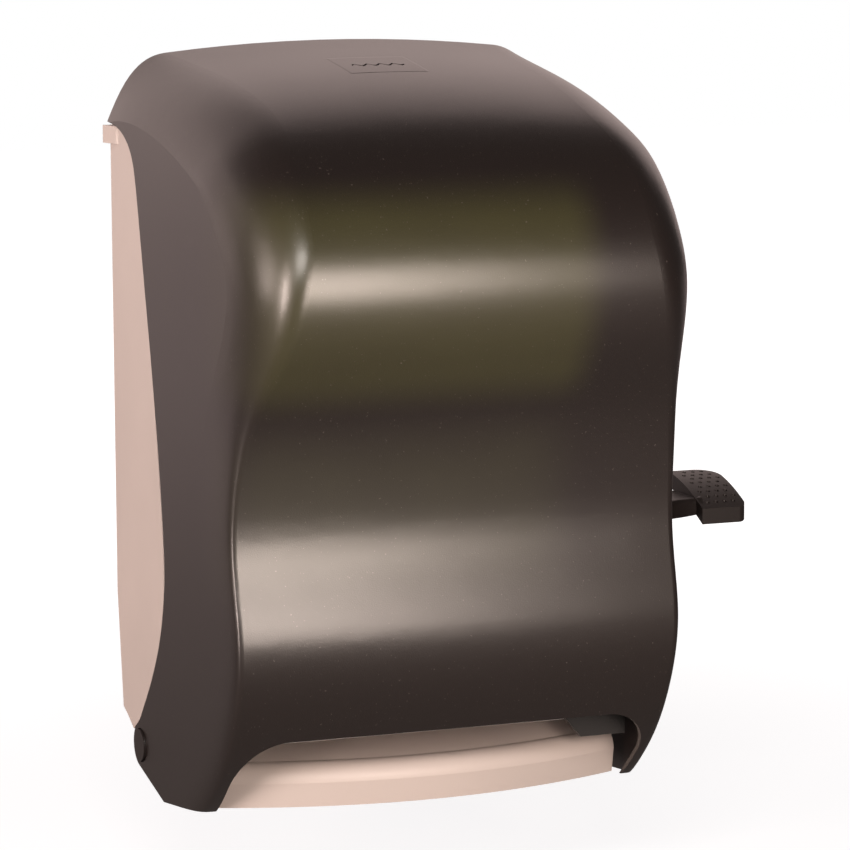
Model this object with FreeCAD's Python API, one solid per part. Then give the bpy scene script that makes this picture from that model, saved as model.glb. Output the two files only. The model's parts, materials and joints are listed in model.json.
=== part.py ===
import FreeCAD, Part
import math
import os
from FreeCAD import Vector

# A wall dispenser for roll towels, worked by a lever on its right side.
# A smoky front cover is hinged at its foot on a pale backplate and latched at its top.
# Frame: +X to the right seen from the front, the front faces -Y, the wall is y = 0, +Z is up.
# Heights here count from the foot; export() lowers each piece so that z = 0 is the middle
# of the four wall holes, which is the origin.

# Overall body
SIDE_ROOM = 51.0
RIDGE_Z = 389.0
CROWN_TOP = 5.0
CROWN_FRONT = 1.2
DRAFT_DEG = 1.68
COVER_WALL = 2.5
WALL_GAP = 1.0

# Cover profile from the wall to the foot: (crest y, crest z), (side edge y, side edge z),
# then the width of the rounded corner between them and how square it is
PROFILE = [
    ((0.0, RIDGE_Z), (0.0, 352.0), 33.0, 0.52),
    ((-52.0, 382.8), (-48.0, 354.0), 38.0, 0.49),
    ((-106.0, 375.0), (-98.0, 345.0), 40.0, 0.48),
    ((-150.0, 364.0), (-133.0, 334.0), 40.0, 0.48),
    ((-180.0, 351.5), (-152.0, 324.0), 37.0, 0.50),
    ((-207.0, 331.0), (-166.0, 310.0), 33.0, 0.50),
    ((-224.5, 307.0), (-179.5, 296.0), 32.0, 0.50),
    ((-229.5, 284.0), (-185.6, 280.0), 28.0, 0.53),
    ((-221.0, 252.0), (-175.5, 252.0), 22.0, 0.58),
    ((-201.5, 221.0), (-156.4, 221.0), 13.0, 0.72),
    ((-188.5, 184.0), (-141.8, 184.0), 7.0, 0.90),
    ((-185.0, 150.0), (-137.0, 150.0), 5.5, 0.94),
    ((-190.0, 124.0), (-141.5, 124.0), 5.5, 0.94),
    ((-193.5, 103.0), (-145.8, 103.0), 5.5, 0.94),
    ((-187.0, 70.0), (-138.5, 70.0), 6.5, 0.90),
    ((-169.0, 39.0), (-123.0, 39.0), 7.5, 0.86),
    ((-134.0, 6.5), (-86.0, 1.0), 9.0, 0.80),
]
SHOULDER_TUCK = 8.0
SHOULDER_END = 0.3
SECTIONS = 30

# Rear edge of the cover's side wall, seen from the left, from the wall down to the hinge
REAR_EDGE = [
    (6.0, 353.4), (-15.6, 351.7), (-31.0, 346.5), (-41.5, 337.5), (-48.0, 321.0),
    (-55.3, 289.7), (-66.0, 243.7), (-76.7, 192.5), (-84.4, 141.0), (-85.2, 119.0),
    (-78.8, 92.0), (-67.0, 69.5), (-50.0, 47.0),
]
RIM_GAP = 1.2

# Paper outlet in the cover
OUTLET_TOP = 49.5
OUTLET_SIDE = 13.5
OUTLET_CORNER = 26.0

# Cover hinge
HINGE_Y = -43.0
HINGE_Z = 23.4
HINGE_BOSS_R = 12.0
HINGE_PIN_R = 3.0
HINGE_HEAD_R = 8.5
HINGE_HEAD_T = 2.3
RUN_GAP = 0.05

# Key slot and latch
KEY_SLOT_Y = -74.0
KEY_SLOT_LEN = 29.0
KEY_SLOT_W = 2.2
KEY_WAVES = 4
LATCH_HALF_W = 17.0

# Backplate
PLATE_T = 2.5
SIDE_INSET = 2.4
SIDE_T = 3.2
MOUNT_HEIGHT = 215.0
HOLE_SPAN_X = 140.0
HOLE_SPAN_Z = 180.0
HOLE_R = 3.25

# Paper roll and its arms
ROLL_Y = -110.0
ROLL_Z = 272.0
ROLL_R = 58.0
ROLL_L = 203.0
ROLL_LEFT_ROOM = 4.0
CORE_R = 22.0
CORE_T = 1.5
SEAT_GAP = 0.3
END_GAP = 1.0
ARM_T = 3.0
ARM_H = 34.0
HUB_DEPTH = 9.0
ARM_PIN_Y = -14.0
ARM_PIN_R = 2.5

# Feed drive: lever, toothed sector, pinion, feed roller and pinch roller
MODULE = 1.25
PINION_TEETH = 18
SECTOR_TEETH = 100
PRESSURE_DEG = 20.0
BACKLASH = 0.22
LEVER_Y = -45.0
LEVER_Z = 121.2
LEVER_SWING = 45.0
MESH_DEG = 34.0
FEED_R = 17.0
FEED_CORE_R = 14.0
FEED_SHAFT_R = 4.0
PINCH_R = 9.5
PINCH_SHAFT_R = 3.0
NIP_DEG = 20.0
PAPER_T = 0.3
PAPER_GAP = 0.15
AXLE_R = 4.0
GEAR_T = 7.0
BOX_W = 16.0
BOX_SIDE = 15.0
BOX_T = 2.5
BRACKET_SIDE = 12.5

# Lever pad
PAD_REACH = 43.0
PAD_W = 26.5
PAD_FRONT_Y = -114.0
PAD_REAR_Y = -69.0
PAD_FRONT_Z = 143.0
PAD_REAR_Z = 157.0
PAD_T = 8.5

# Outlet chute with its bowed nose
NOSE_GAP = 1.2
NOSE_END_Y = -127.0
NOSE_BOW = 24.0
NOSE_FOOT_Z = 6.0
NOSE_WALL = 2.5

BODY_W = ROLL_L + SIDE_ROOM
HALF_W = BODY_W / 2
OUTLET_HALF_W = HALF_W - OUTLET_SIDE
NOSE_HALF_L = OUTLET_HALF_W - NOSE_GAP
BRACKET_X = BRACKET_SIDE - HALF_W
BOX_X1 = HALF_W - BOX_SIDE
BOX_X0 = BOX_X1 - BOX_W
GEAR_X = BOX_X0 + 4.0
ROLL_X0 = BRACKET_X + ROLL_LEFT_ROOM
PAD_X0 = HALF_W + PAD_REACH
PAD_X1 = PAD_X0 + PAD_W
DRAFT = math.tan(math.radians(DRAFT_DEG))
CENTRE_DIST = MODULE * (PINION_TEETH + SECTOR_TEETH) / 2
FEED_Y = LEVER_Y - CENTRE_DIST * math.cos(math.radians(MESH_DEG))
FEED_Z = LEVER_Z - CENTRE_DIST * math.sin(math.radians(MESH_DEG))
NIP_DIST = FEED_R + PINCH_R + PAPER_T + 2 * PAPER_GAP
PINCH_Y = FEED_Y + NIP_DIST * math.cos(math.radians(NIP_DEG))
PINCH_Z = FEED_Z - NIP_DIST * math.sin(math.radians(NIP_DEG))
ROLL_X1 = ROLL_X0 + ROLL_L
ROLLER_X0 = BRACKET_X + 7.0
ROLLER_X1 = BOX_X0 - 4.0
COVER_IN_X = HALF_W - COVER_WALL + DRAFT * HINGE_Y
BOSS_IN_X = HALF_W - 9.0
HINGE_SEAT_X = HALF_W + DRAFT * HINGE_Y - 1.5
LATCH_Z = 356.0
LATCH_SCREW_X = (-28.0, 28.0)
LATCH_SCREW_Y = KEY_SLOT_Y + 8.0
HOOK_Y = -15.0
BUSH_T = 2.0
CLUTCH_R = 7.5
BOX_SCREWS = ((-32.0, 56.0), (-126.0, 120.0), (-34.0, 142.0), (-130.0, 58.0))
LEVER_HUB_X = BOX_X1 + 0.6
LEVER_REST_DEG = 32.0
ARM_CROSS_R = 24.0
PAD_MID_Y = (PAD_FRONT_Y + PAD_REAR_Y) / 2
PIT_R = 1.15
PIT_PITCH = 5.1
PIT_ROWS = 8
TOOTH_PITCH = 4.0
TEAR_SCREW_X = (ROLL_X0 + 20.5, ROLL_X0 + 75.5, ROLL_X1 - 67.5, ROLL_X1 - 12.5)
ARM_PIN_X = ROLL_X1 + END_GAP + 4.0
ARM_SPRING_H = 10.0
ARM_SCREW_Z = (ROLL_Z - 19.0, ROLL_Z + 19.0)
SHELF_HALF_W = NOSE_HALF_L - 2.8
RIB_X = (39.0 - HALF_W, -30.0, 30.0, HALF_W - 39.0)
CROSS_RIB_X = HALF_W - 17.0
CHUTE_REAR_Y = -34.0
CHUTE_SCREW_X = (-80.0, 0.0, 80.0)
CHUTE_SCREW_Y = -42.0
FRAME_SCREW_Z = (71.0, 133.0)
LEVER_KEY = 1.6
SLEEVE_R = 7.0


def side_x(y, inset):
    """x of the right side wall at depth y, moved in by inset."""
    return HALF_W - inset + DRAFT * y


def box(x0, x1, y0, y1, z0, z1):
    return Part.makeBox(x1 - x0, y1 - y0, z1 - z0, Vector(x0, y0, z0))


def rod(x0, x1, y, z, r):
    """A round bar along X."""
    return Part.makeCylinder(r, x1 - x0, Vector(x0, y, z), Vector(1, 0, 0))


def ring(x0, x1, y, z, r_out, r_in):
    return rod(x0, x1, y, z, r_out).cut(rod(x0 - 1, x1 + 1, y, z, r_in))


def slab(points, x0, x1):
    """A prism along X from a closed outline of (y, z) points."""
    corners = [Vector(x0, y, z) for y, z in points]
    face = Part.Face(Part.makePolygon(corners + corners[:1]))
    return face.extrude(Vector(x1 - x0, 0, 0))


def spline(points):
    """An interpolated curve through (y, z) points in the plane x = 0."""
    curve = Part.BSplineCurve()
    curve.interpolate([Vector(0, y, z) for y, z in points])
    return curve


def mirrored(shape):
    return shape.mirror(Vector(0, 0, 0), Vector(1, 0, 0))


def fused(shapes):
    whole = shapes[0].multiFuse(shapes[1:]) if len(shapes) > 1 else shapes[0]
    return whole.removeSplitter()


def drafted(shape):
    """Turns a piece built square on the left side so that it lies along the cover's side wall."""
    turned = shape.copy()
    turned.rotate(Vector(-HALF_W, 0, 0), Vector(0, 0, 1), DRAFT_DEG)
    return turned


def bezier(points):
    curve = Part.BezierCurve()
    curve.setPoles(points)
    return curve.toShape()


def profile_curves():
    """The crest, the side edge and the corner's width and squareness, with one shared parameter."""
    crests = [Vector(0, *pair[0]) for pair in PROFILE]
    edges = [Vector(0, *pair[1]) for pair in PROFILE]
    steps = [0.0]
    for a, b in zip(crests, crests[1:]):
        steps.append(steps[-1] + (b - a).Length)
    steps = [s / steps[-1] for s in steps]
    crest, edge = Part.BSplineCurve(), Part.BSplineCurve()
    crest.interpolate(Points=crests, Parameters=steps)
    edge.interpolate(Points=edges, Parameters=steps)
    shape = Part.BSplineCurve()
    widths = [Vector(p[2], 100 * p[3], 100 * u) for p, u in zip(PROFILE, steps)]
    shape.interpolate(Points=widths, Parameters=steps)
    return crest, edge, shape


def cover_path(curves, u, inset):
    """Half of a section of the cover: wall point, side edge and the four poles of its corner."""
    crest, edge, shape = curves
    point, along = crest.value(u), crest.tangent(u)[0]
    side = edge.value(u)
    corner_w, square = shape.value(u).x, shape.value(u).y / 100
    if u == 0 or u == 1:
        out = (point - side).normalize()
    else:
        out = Vector(0, -along.z, along.y)
        out = out * (1 if out.dot(point - side) > 0 else -1)
    (foot_y, foot_z), (last_y, last_z) = PROFILE[-1][:2]
    wall_end = last_z - last_y * (foot_z - last_z) / (foot_y - last_y)
    wall_start = PROFILE[0][1][1] - 6.0
    wall_z = wall_start + (wall_end - wall_start) * u
    crown = CROWN_TOP + (CROWN_FRONT - CROWN_TOP) * min(1.0, u / 0.45)
    start_x = side_x(side.y, 0) - corner_w
    corner_x = side_x(side.y, inset)
    top = point - out * inset
    reach = square * (corner_x - start_x)
    lean = 2 * crown / start_x
    handle = side + (top - side) * square
    tuck = SHOULDER_TUCK * max(0.0, 1 - u / SHOULDER_END)
    shoulder = top - out * (reach * lean)
    corner = [
        Vector(start_x, top.y, top.z),
        Vector(start_x + reach, shoulder.y, shoulder.z),
        Vector(side_x(handle.y, inset) - tuck, handle.y, handle.z),
        Vector(corner_x, side.y, side.z),
    ]
    rise = top + out * (4 * crown / 3)
    ridge = [Vector(start_x / 3, rise.y, rise.z), Vector(-start_x / 3, rise.y, rise.z)]
    return Vector(side_x(0, inset), 0, wall_z), corner, ridge


def flipped(point):
    return Vector(-point.x, point.y, point.z)


def cover_section(curves, u):
    """One closed section: over the outside from left to right, and back along the inside."""
    edges = []
    ends = []
    for inset in (0, COVER_WALL):
        wall, corner, ridge = cover_path(curves, u, inset)
        left = [flipped(p) for p in reversed(corner)]
        middle = [left[-1], flipped(ridge[0]), ridge[0], corner[0]]
        edges.append([
            Part.makeLine(flipped(wall), left[0]),
            bezier(left),
            bezier(middle),
            bezier(corner),
            Part.makeLine(corner[-1], wall),
        ])
        ends.append(wall)
    outer, inner = edges
    close_right = Part.makeLine(ends[0], ends[1])
    close_left = Part.makeLine(flipped(ends[1]), flipped(ends[0]))
    return Part.Wire(outer + [close_right] + inner[::-1] + [close_left])


def cover_shell():
    """The cover's plain shell, open at the wall and at the foot."""
    curves = profile_curves()
    wires = [cover_section(curves, i / SECTIONS) for i in range(SECTIONS + 1)]
    return Part.makeLoft(wires, True, False)


def rear_cut():
    """What is taken off the cover behind its side walls' rear edge, around the hinge."""
    curve = spline(REAR_EDGE).toShape()
    end = REAR_EDGE[-1]
    start = REAR_EDGE[0]

    def on_boss(deg):
        a = math.radians(deg)
        return Vector(0, HINGE_Y + HINGE_BOSS_R * math.cos(a), HINGE_Z + HINGE_BOSS_R * math.sin(a))

    arc = Part.Arc(on_boss(75), on_boss(0), on_boss(-70)).toShape()
    low = [Vector(0, -80, 0), Vector(0, -95, -30), Vector(0, 20, -30), Vector(0, 20, start[1])]
    first = Vector(0, *start)
    edges = [curve, Part.makeLine(Vector(0, *end), on_boss(75)), arc]
    run = [on_boss(-70)] + low + [first]
    edges += [Part.makeLine(a, b) for a, b in zip(run, run[1:])]
    face = Part.Face(Part.Wire(edges))
    face.translate(Vector(-BODY_W, 0, 0))
    return face.extrude(Vector(2 * BODY_W, 0, 0))


def outlet_cut():
    """The opening that straddles the nose: a wide slot with large top corners."""
    w, t, r = OUTLET_HALF_W, OUTLET_TOP, OUTLET_CORNER
    y0 = -260.0
    low = -40.0
    h = math.sqrt(0.5) * r

    def v(x, z):
        return Vector(x, y0, z)

    edges = [
        Part.makeLine(v(-w, low), v(-w, t - r)),
        Part.Arc(v(-w, t - r), v(-w + r - h, t - r + h), v(-w + r, t)).toShape(),
        Part.makeLine(v(-w + r, t), v(w - r, t)),
        Part.Arc(v(w - r, t), v(w - r + h, t - r + h), v(w, t - r)).toShape(),
        Part.makeLine(v(w, t - r), v(w, low)),
        Part.makeLine(v(w, low), v(-w, low)),
    ]
    return Part.Face(Part.Wire(edges)).extrude(Vector(0, 240, 0))


def key_slot_cut():
    """The wavy slot for the key, cut down through the top of the cover."""
    pitch = KEY_SLOT_LEN / KEY_WAVES
    swell = 1.9
    near, far = [], []
    count = KEY_WAVES * 8
    for i in range(count + 1):
        x = -KEY_SLOT_LEN / 2 + KEY_SLOT_LEN * i / count
        y = KEY_SLOT_Y + swell * math.sin(2 * math.pi * x / pitch)
        near.append(Vector(x, y - KEY_SLOT_W / 2, RIDGE_Z + 20))
        far.append(Vector(x, y + KEY_SLOT_W / 2, RIDGE_Z + 20))
    outline = near + far[::-1]
    face = Part.Face(Part.makePolygon(outline + outline[:1]))
    return face.extrude(Vector(0, 0, -50))


def front_cover():
    shell = cover_shell().cut(rear_cut())
    shell = shell.cut(outlet_cut())
    shell = shell.cut(box(-BODY_W, BODY_W, -WALL_GAP, 60, -50, 500))
    boss = rod(-COVER_IN_X - 0.6, -BOSS_IN_X, HINGE_Y, HINGE_Z, HINGE_BOSS_R - 1)
    posts = [Part.makeCylinder(4.5, 17, Vector(x, LATCH_SCREW_Y, LATCH_Z + 11)) for x in LATCH_SCREW_X]
    shell = fused([shell, boss, mirrored(boss)] + posts)
    for x in LATCH_SCREW_X:
        shell = shell.cut(Part.makeCylinder(1.5, 9, Vector(x, LATCH_SCREW_Y, LATCH_Z + 10)))
    head_seat = rod(-HALF_W - 5, -HINGE_SEAT_X, HINGE_Y, HINGE_Z, HINGE_HEAD_R + 0.7)
    hole = rod(-HALF_W - 5, -BOSS_IN_X + 5, HINGE_Y, HINGE_Z, HINGE_PIN_R + RUN_GAP)
    for cutter in (head_seat, hole):
        shell = shell.cut(cutter).cut(mirrored(cutter))
    return shell.cut(key_slot_cut())


def latch_parts():
    """The latch guide under the key slot, its two screws, and the spring tongue with its hook."""
    w = LATCH_HALF_W
    guide = box(-w - 5, w + 5, KEY_SLOT_Y - 14, KEY_SLOT_Y + 30, LATCH_Z, LATCH_Z + 14)
    guide = guide.cut(box(-w - 0.5, w + 0.5, KEY_SLOT_Y - 11, KEY_SLOT_Y + 40, LATCH_Z - 1, LATCH_Z + 11))
    guide = guide.cut(box(-KEY_SLOT_LEN / 2 - 2, KEY_SLOT_LEN / 2 + 2, KEY_SLOT_Y - 4,
                          KEY_SLOT_Y + 4, LATCH_Z, LATCH_Z + 30))
    screws = []
    for x in LATCH_SCREW_X:
        ear = Part.makeCylinder(4.5, 3, Vector(x, LATCH_SCREW_Y, LATCH_Z + 8))
        web = box(min(x, 0), max(x, 0), LATCH_SCREW_Y - 4.5, LATCH_SCREW_Y + 4.5, LATCH_Z + 8, LATCH_Z + 11)
        web = web.cut(box(-w - 1, w + 1, -200, 0, LATCH_Z, LATCH_Z + 11))
        guide = fused([guide, ear, web])
        guide = guide.cut(Part.makeCylinder(1.5, 5, Vector(x, LATCH_SCREW_Y, LATCH_Z + 7)))
        head = Part.makeCylinder(3.2, 2.2, Vector(x, LATCH_SCREW_Y, LATCH_Z + 5.8))
        shank = Part.makeCylinder(1.5, 10, Vector(x, LATCH_SCREW_Y, LATCH_Z + 8))
        screws.append(head.fuse(shank).removeSplitter())
    tongue = slab([
        (KEY_SLOT_Y - 10.5, LATCH_Z + 5), (KEY_SLOT_Y - 10.5, LATCH_Z + 2.6), (HOOK_Y + 4, LATCH_Z + 2.6),
        (HOOK_Y + 4, LATCH_Z + 11), (HOOK_Y + 1.5, LATCH_Z + 11), (HOOK_Y, LATCH_Z + 9), (HOOK_Y, LATCH_Z + 5),
    ], -w, w)
    tongue = tongue.fuse(box(-w, w, KEY_SLOT_Y - 11, KEY_SLOT_Y - 6, LATCH_Z + 5, LATCH_Z + 11))
    return guide, Part.makeCompound(screws), tongue.removeSplitter()


def latch_catch():
    """The toothed catch that the tongue's hook snaps behind, on the backplate's top."""
    w = LATCH_HALF_W - 2
    z = LATCH_Z + 11.6
    return slab([
        (-PLATE_T, z - 1.2), (HOOK_Y + 3.2, z - 0.3), (HOOK_Y - 0.4, z - 0.3), (HOOK_Y - 0.4, z - 4.6),
        (HOOK_Y - 3.4, z - 4.6), (HOOK_Y - 5.4, z), (HOOK_Y - 5.4, z + 2.4), (-PLATE_T, z + 2.4),
    ], -w, w)


def rim_points(gap):
    return [(y + gap, z - gap) for y, z in REAR_EDGE[1:]]


def side_wall_face(x, gap):
    """The outline of a backplate side wall in the plane at x, a little past the wall plane."""
    points = rim_points(gap)
    top = Vector(x, 2, points[0][1] + 1.0)
    curve = Part.BSplineCurve()
    curve.interpolate([top] + [Vector(x, y, z) for y, z in points])
    low = [points[-1], (-41.0, 38.4), (-26.5, 29.0), (-16.0, 34.5), (-5.0, 39.0), (2.0, 100.0)]
    run = [Vector(x, y, z) for y, z in low] + [top]
    edges = [curve.toShape()] + [Part.makeLine(p, q) for p, q in zip(run, run[1:])]
    return Part.Face(Part.Wire(edges))


def rim_band(x):
    """The raised band behind the cover's edge, wide at the top and fading half way down."""
    outer = rim_points(RIM_GAP)[:8]
    inner = [(2.0, 344.6), (-19.0, 342.5), (-30.0, 336.0), (-38.0, 321.0), (-47.0, 290.0), (-60.0, 243.0)]
    top = Vector(x, 2, outer[0][1] + 1.0)
    a, b = Part.BSplineCurve(), Part.BSplineCurve()
    a.interpolate([top] + [Vector(x, y, z) for y, z in outer])
    b.interpolate([Vector(x, *p) for p in inner] + [Vector(x, *outer[-1])])
    close = Part.makeLine(Vector(x, *inner[0]), top)
    return Part.Face(Part.Wire([a.toShape(), b.toShape(), close]))


def backplate():
    """Back wall, drafted side walls with their raised rim, hinge ears, top lip and bottom shelf."""
    x = -HALF_W
    side = side_wall_face(x + SIDE_INSET, RIM_GAP).extrude(Vector(SIDE_T, 0, 0))
    band = rim_band(x + SIDE_INSET - 0.9).extrude(Vector(1.4, 0, 0))
    lip_cut = side_wall_face(x, RIM_GAP + 9)
    lip = side_wall_face(x + COVER_WALL + 0.4, RIM_GAP - 7).extrude(Vector(1.8, 0, 0))
    lip = lip.cut(lip_cut.extrude(Vector(20, 0, 0))).cut(box(-200, 200, -200, 20, -50, 68))
    lip = lip.cut(box(-200, 200, -15, 20, 300, 400)).cut(box(-200, 200, -200, 20, 350, 400))
    tab = Part.makePolygon([
        Vector(x + 3, -15, 342), Vector(x + 1.3, -14, 342), Vector(x - 1.8, 0, 342), Vector(x + 5, 0.5, 342),
        Vector(x + 3, -15, 342),
    ])
    tab = Part.Face(tab).extrude(Vector(0, 0, 9.4))
    wall = fused([fused([side, band, drafted(lip)]), tab])
    inner_x = HALF_W - SIDE_INSET - 1
    curves = profile_curves()
    corner, ridge = cover_path(curves, 0, COVER_WALL + 1.5)[1:]
    left = [flipped(p) for p in reversed(corner)]
    middle = [left[-1], flipped(ridge[0]), ridge[0], corner[0]]
    low_right = Vector(corner[-1].x, 0, 99.9)
    run = [corner[-1], low_right, flipped(low_right), left[0]]
    edges = [bezier(left), bezier(middle), bezier(corner)]
    edges += [Part.makeLine(p, q) for p, q in zip(run, run[1:])]
    back = Part.Face(Part.Wire(edges)).extrude(Vector(0, -PLATE_T, 0))
    back = back.fuse(box(-inner_x, inner_x, -PLATE_T, 0, 99.9, PROFILE[0][1][1] - 1))
    foot = slab([(0, 100), (-PLATE_T, 100), (-11, 42), (-11, 39.5), (-8, 39.5)], -inner_x, inner_x)
    shelf = fused([
        box(-BOSS_IN_X, BOSS_IN_X, CHUTE_REAR_Y, -8, 39.5, 42),
        slab([(-50, 36.9), (-50, 39.3), (CHUTE_REAR_Y, 40.4), (CHUTE_REAR_Y, 42), (-28, 42), (-28, 39.5),
              (CHUTE_REAR_Y, 38)], -SHELF_HALF_W, SHELF_HALF_W),
    ])
    ear = slab([
        (-9, 42), (-9, 60), (-28, 50), (HINGE_Y + 2, HINGE_Z + 9.4), (HINGE_Y - 6, HINGE_Z + 7.5),
        (HINGE_Y - 9.5, HINGE_Z), (HINGE_Y - 6, HINGE_Z - 7.5), (HINGE_Y, HINGE_Z - 9.5),
        (HINGE_Y + 8, HINGE_Z - 5), (-22, 39.5),
    ], -BOSS_IN_X + 0.4, -BOSS_IN_X + 3.1)
    ear = ear.cut(rod(-200, 200, HINGE_Y, HINGE_Z, HINGE_PIN_R))
    ribs = [box(rx - 1, rx + 1, -8, -PLATE_T + 0.5, 104, 340) for rx in RIB_X]
    ribs += [box(-CROSS_RIB_X, CROSS_RIB_X, -6, -PLATE_T + 0.5, rz - 1, rz + 1) for rz in (160, 236, 332)]
    knuckles = [
        Part.makeCylinder(6, 5, Vector(ARM_PIN_X, ARM_PIN_Y, z)).fuse(
            box(ARM_PIN_X - 5, ARM_PIN_X + 5, ARM_PIN_Y, -PLATE_T + 0.5, z, z + 5))
        for z in (ROLL_Z - ARM_H / 2 - 5.4, ROLL_Z + ARM_H / 2 + 0.4)
    ]
    whole = fused([back, foot, shelf, wall, mirrored(wall), ear, mirrored(ear)] + ribs + knuckles)
    behind = [(0, 420), (0, 100), (-8, 39.5), (-8, 20), (30, 20), (30, 420)]
    whole = whole.cut(slab(behind, -BODY_W, BODY_W))
    whole = whole.cut(Part.makeCylinder(ARM_PIN_R, 60, Vector(ARM_PIN_X, ARM_PIN_Y, ROLL_Z - 30)))
    for sx in (-1, 1):
        for sz in (-1, 1):
            centre = Vector(sx * HOLE_SPAN_X / 2, 10, MOUNT_HEIGHT + sz * HOLE_SPAN_Z / 2)
            whole = whole.cut(Part.makeCylinder(HOLE_R, 30, centre, Vector(0, -1, 0)))
    for x in (BRACKET_X + 6, BOX_X0 + 6):
        for z in FRAME_SCREW_Z:
            whole = whole.cut(frame_screw(x, z))
    for z in ARM_SCREW_Z:
        whole = whole.cut(arm_screw(z))
    for x in CHUTE_SCREW_X:
        whole = whole.cut(chute_screw(x))
    return whole.cut(lever_slot())


def frame_screw(x, z):
    """A flat-headed screw sunk in the back of the wall, into the bracket or the housing."""
    y = -wall_back(z)
    head = Part.makeCylinder(2.8, 1.3, Vector(x, y - 0.2, z), Vector(0, -1, 0))
    return head.fuse(Part.makeCylinder(1.5, 12, Vector(x, y - 1.5, z), Vector(0, -1, 0))).removeSplitter()


def wall_back(z):
    """How far in front of the wall the back of the backplate is at height z."""
    return 0.0 if z >= 100 else (100.0 - z) * 8.0 / 60.5


def wall_front(z):
    """How far in front of the wall the front of the backplate is at height z."""
    return PLATE_T if z >= 100 else PLATE_T + (100.0 - z) * 8.5 / 58


def arm_screw(z):
    """A screw through the left arm's foot into the backplate."""
    x = ROLL_X0 - END_GAP + 7
    head = Part.makeCylinder(2.8, 1.5, Vector(x, -7, z), Vector(0, 1, 0))
    return head.fuse(Part.makeCylinder(1.5, 5.1, Vector(x, -5.5, z), Vector(0, 1, 0))).removeSplitter()


def chute_screw(x):
    """A screw down through the chute's rear edge into the backplate's shelf."""
    head = Part.makeCylinder(3, 1.8, Vector(x, CHUTE_SCREW_Y, 42.45))
    return head.fuse(Part.makeCylinder(1.5, 7, Vector(x, CHUTE_SCREW_Y, 35.6))).removeSplitter()


def lever_slot():
    """The curved slot in the right side wall that the lever's arm moves in."""
    r0, r1 = ARM_CROSS_R - 7, ARM_CROSS_R + 7

    def at(r, deg):
        a = math.radians(deg)
        return Vector(HALF_W - 12, LEVER_Y - r * math.cos(a), LEVER_Z + r * math.sin(a))

    high, low = LEVER_REST_DEG + 17, LEVER_REST_DEG - LEVER_SWING - 17
    mid = (high + low) / 2
    edges = [
        Part.Arc(at(r1, high), at(r1, mid), at(r1, low)).toShape(),
        Part.makeLine(at(r1, low), at(r0, low)),
        Part.Arc(at(r0, low), at(r0, mid), at(r0, high)).toShape(),
        Part.makeLine(at(r0, high), at(r1, high)),
    ]
    return Part.Face(Part.Wire(edges)).extrude(Vector(24, 0, 0))


def hinge_pins():
    pin = rod(-HINGE_SEAT_X, -BOSS_IN_X + 4.4, HINGE_Y, HINGE_Z, HINGE_PIN_R)
    head = rod(-HINGE_SEAT_X - 0.3 - HINGE_HEAD_T, -HINGE_SEAT_X - 0.3, HINGE_Y, HINGE_Z, HINGE_HEAD_R)
    neck = rod(-HINGE_SEAT_X - 0.5, -HINGE_SEAT_X + 1, HINGE_Y, HINGE_Z, HINGE_PIN_R)
    whole = fused([pin, head.makeChamfer(0.5, [head.Edges[0]]), neck])
    return Part.makeCompound([whole, mirrored(whole)])


def nose_y(x):
    """Front of the nose, bowed forward in the middle."""
    return NOSE_END_Y - NOSE_BOW * (1 - (x / NOSE_HALF_L) ** 2)


def nose_wire(x, depth):
    """A section of the chute at x; depth moves it in from the outside."""
    f = nose_y(x) + depth
    z0 = NOSE_FOOT_Z
    top_rear = Vector(x, CHUTE_REAR_Y, 43.0 - depth)
    top_mid = Vector(x, -98.0, 38.5 - depth)
    top_front = Vector(x, f + 12 - depth, 28.3 - depth)
    front_top = Vector(x, f, z0 + 13 - 0.6 * depth)
    foot = Vector(x, f + 2.5, z0)
    foot_rear = Vector(x, CHUTE_REAR_Y, z0)
    bend = math.sqrt(0.5)
    knee = Vector(x, f + (12 - depth) * (1 - bend) * 0.75, z0 + 13 + (9.3 - 0.4 * depth) * bend)
    return Part.Wire([
        Part.makeLine(foot_rear, top_rear),
        Part.makeLine(top_rear, top_mid),
        Part.makeLine(top_mid, top_front),
        Part.Arc(top_front, knee, front_top).toShape(),
        Part.makeLine(front_top, foot),
        Part.makeLine(foot, foot_rear),
    ])


def outlet_chute():
    """The pale chute under the outlet, whose bowed nose closes the dispenser's foot."""
    steps = 12
    length = NOSE_HALF_L
    outer = [nose_wire(-length + 2 * length * i / steps, 0) for i in range(steps + 1)]
    length = NOSE_HALF_L - NOSE_WALL
    inner = [nose_wire(-length + 2 * length * i / steps, NOSE_WALL) for i in range(steps + 1)]
    for wire in inner:
        wire.translate(Vector(0, 0, -0.01))
    shell = Part.makeLoft(outer, True, False).cut(Part.makeLoft(inner, True, False))
    shell = shell.cut(box(-200, 200, -70, 0, -20, 37.5))
    for x in CHUTE_SCREW_X:
        shell = shell.cut(chute_screw(x))
    return shell


def bracket_outline(low_front):
    return [
        (-24, 46.5), (-98, 41.0), (-136, 33.0), low_front, (-141, 118), (-120, 150), (-24, 150), (-8.5, 140),
        (-8.5, 80), (-13, 49),
    ]


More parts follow.
